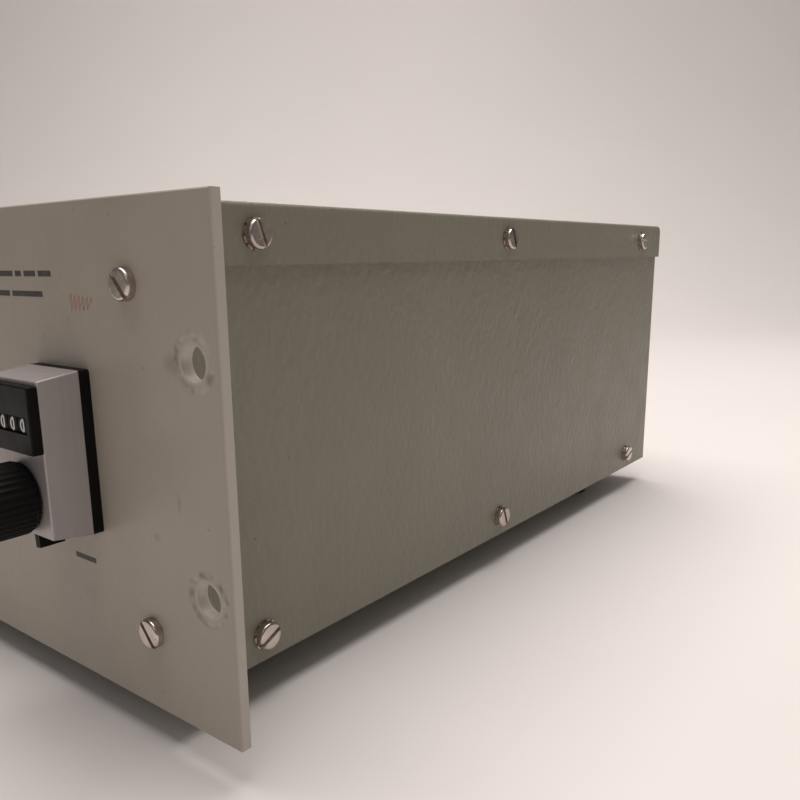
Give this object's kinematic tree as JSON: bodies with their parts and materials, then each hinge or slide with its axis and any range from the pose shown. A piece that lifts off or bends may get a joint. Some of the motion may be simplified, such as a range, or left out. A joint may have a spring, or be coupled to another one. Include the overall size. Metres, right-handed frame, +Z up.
{
  "type": "bench power supply",
  "caption": "Rack-panel direct-current power supply with a ten-turn digital dial, rotary voltage switches, panel meter, toggles and folded sheet-metal case on rubber feet.",
  "frame": {"origin": "centre of the footprint on the surface the feet stand on", "axes": "+X to the right facing the front panel, +Y from the front panel to the rear, +Z up"},
  "size_m": [0.4826, 0.3786, 0.1425],
  "materials": {
    "panel_paint": "fine textured warm grey enamel, satin",
    "case_paint": "green-grey enamel, eggshell, lightly marked",
    "plated_steel": "nickel-plated screws, nuts and shafts, slightly tarnished",
    "zinc_sheet": "zinc-plated sheet and frames",
    "satin_silver": "satin silver, smooth",
    "black_plastic": "black moulded phenolic, satin",
    "gloss_black": "black phenolic, polished",
    "digit_black": "black digit wheels with white numerals",
    "foot_rubber": "black rubber",
    "lens_amber": "amber translucent lens",
    "clear_pane": "clear pane",
    "scale_card": "cream printed scale plate",
    "brass": "brass contacts and posts, nickel worn",
    "phenolic_board": "brown paper-phenolic board and wafers",
    "components": "dipped and moulded components",
    "iron_core": "varnished laminations",
    "winding": "varnished winding wrap",
    "can_aluminium": "capacitor cans",
    "sink_black": "black anodised heat sink",
    "glass_fuse": "glass fuse tube with end caps",
    "loom": "laced wiring"
  },
  "bodies": {
    "case": {"front_panel": "panel_paint", "side_panel_left": "case_paint", "side_panel_right": "case_paint", "top_cover": "case_paint", "bottom_tray": "case_paint", "rear_panel": "case_paint", "rubber_feet": "foot_rubber", "foot_screws": "plated_steel", "panel_screws": "plated_steel", "case_screws": "plated_steel", "lock_washers": "plated_steel", "frame_nuts": "plated_steel", "switch_nuts": "plated_steel", "dial_base": "black_plastic", "dial_housing": "satin_silver", "dial_bezel": "black_plastic", "dial_axle": "plated_steel", "ten_turn_potentiometer": "zinc_sheet", "rotary_switch_left": "phenolic_board", "rotary_switch_right": "phenolic_board", "power_switch": "zinc_sheet", "output_switch": "zinc_sheet", "lamp_holders": "plated_steel", "lamp_lenses": "lens_amber", "meter_housing": "gloss_black", "meter_window": "clear_pane", "meter_scale": "scale_card", "meter_movement": "zinc_sheet", "mains_inlet": "black_plastic", "inlet_pins": "brass", "fuse_holder": "black_plastic", "output_connectors": "plated_steel", "connector_contacts": "brass", "ground_post": "brass", "transformer_core": "iron_core", "transformer_winding": "winding", "filter_capacitors": "can_aluminium", "regulator_board": "phenolic_board", "board_components": "components", "heat_sink": "sink_black", "power_transistors": "plated_steel", "wiring_loom": "loom"},
    "ten_turn_knob": {"dial_knob": "black_plastic", "dial_shaft": "plated_steel"},
    "wheel_1": {"dial_wheel_1": "digit_black"},
    "wheel_2": {"dial_wheel_2": "digit_black"},
    "wheel_3": {"dial_wheel_3": "digit_black"},
    "wheel_4": {"dial_wheel_4": "digit_black"},
    "brake": {"dial_brake": "black_plastic"},
    "voltage_switch_left": {"voltage_knob_left": "gloss_black", "switch_shaft_left": "plated_steel"},
    "voltage_switch_right": {"voltage_knob_right": "gloss_black", "switch_shaft_right": "plated_steel"},
    "power_lever": {"power_switch_lever": "plated_steel"},
    "output_lever": {"output_switch_lever": "plated_steel"},
    "pointer": {"meter_pointer": "black_plastic"},
    "zero_screw": {"meter_zero_screw": "black_plastic"},
    "fuse_link": {"fuse": "glass_fuse"},
    "fuse_top": {"fuse_cap": "black_plastic"},
    "ground_thumb_nut": {"ground_nut": "brass"}
  },
  "joints": [
    {"name": "dial_turn", "type": "hinge", "parent": "case", "child": "ten_turn_knob", "pos_m": [0.1771, -0.1763, 0.0675], "axis": [0, 1, 0], "range_deg": [0, 3600]},
    {"name": "wheel_1_turn", "type": "hinge", "parent": "case", "child": "wheel_1", "pos_m": [0.18452, -0.1659, 0.0878], "axis": [1, 0, 0], "range_deg": [0, 36036.5]},
    {"name": "wheel_2_turn", "type": "hinge", "parent": "case", "child": "wheel_2", "pos_m": [0.17958, -0.1659, 0.0878], "axis": [1, 0, 0], "range_deg": [0, 3604.1]},
    {"name": "wheel_3_turn", "type": "hinge", "parent": "case", "child": "wheel_3", "pos_m": [0.17463, -0.1659, 0.0878], "axis": [1, 0, 0], "range_deg": [0, 360.9]},
    {"name": "wheel_4_turn", "type": "hinge", "parent": "case", "child": "wheel_4", "pos_m": [0.16967, -0.1659, 0.0878], "axis": [1, 0, 0], "range_deg": [0, 36.5]},
    {"name": "brake_swing", "type": "hinge", "parent": "case", "child": "brake", "pos_m": [0.1771, -0.1684, 0.0675], "axis": [0, 1, 0], "range_deg": [-20, 20]},
    {"name": "voltage_switch_left_turn", "type": "hinge", "parent": "case", "child": "voltage_switch_left", "pos_m": [0.02, -0.1703, 0.074], "axis": [0, 1, 0], "range_deg": [0, 300]},
    {"name": "voltage_switch_right_turn", "type": "hinge", "parent": "case", "child": "voltage_switch_right", "pos_m": [0.098, -0.1703, 0.074], "axis": [0, 1, 0], "range_deg": [0, 300]},
    {"name": "power_toggle", "type": "hinge", "parent": "case", "child": "power_lever", "pos_m": [-0.19, -0.1603, 0.054], "axis": [1, 0, 0], "range_deg": [-25, 0]},
    {"name": "output_toggle", "type": "hinge", "parent": "case", "child": "output_lever", "pos_m": [-0.048, -0.1603, 0.054], "axis": [1, 0, 0], "range_deg": [-25, 0]},
    {"name": "pointer_swing", "type": "hinge", "parent": "case", "child": "pointer", "pos_m": [-0.118, -0.1609, 0.06], "axis": [0, 1, 0], "range_deg": [0, 90]},
    {"name": "zero_adjust", "type": "hinge", "parent": "case", "child": "zero_screw", "pos_m": [-0.118, -0.1673, 0.052], "axis": [0, 1, 0], "range_deg": [-60, 60]},
    {"name": "fuse_pull", "type": "slide", "parent": "case", "child": "fuse_link", "axis": [0, 1, 0], "range_m": [0, 0.036]},
    {"name": "fuse_cap_turn", "type": "hinge", "parent": "fuse_link", "child": "fuse_top", "pos_m": [-0.11, 0.1808, 0.045], "axis": [0, 1, 0], "range_deg": [0, 90]},
    {"name": "ground_nut_turn", "type": "hinge", "parent": "case", "child": "ground_thumb_nut", "pos_m": [0.06, 0.1798, 0.08], "axis": [0, 1, 0], "range_deg": [0, 1080]}
  ],
  "couplings": [
    {"joint": "wheel_1_turn", "follows": "dial_turn", "ratio": 10},
    {"joint": "wheel_2_turn", "follows": "dial_turn", "ratio": 1},
    {"joint": "wheel_3_turn", "follows": "dial_turn", "ratio": 0.1},
    {"joint": "wheel_4_turn", "follows": "dial_turn", "ratio": 0.01}
  ]
}
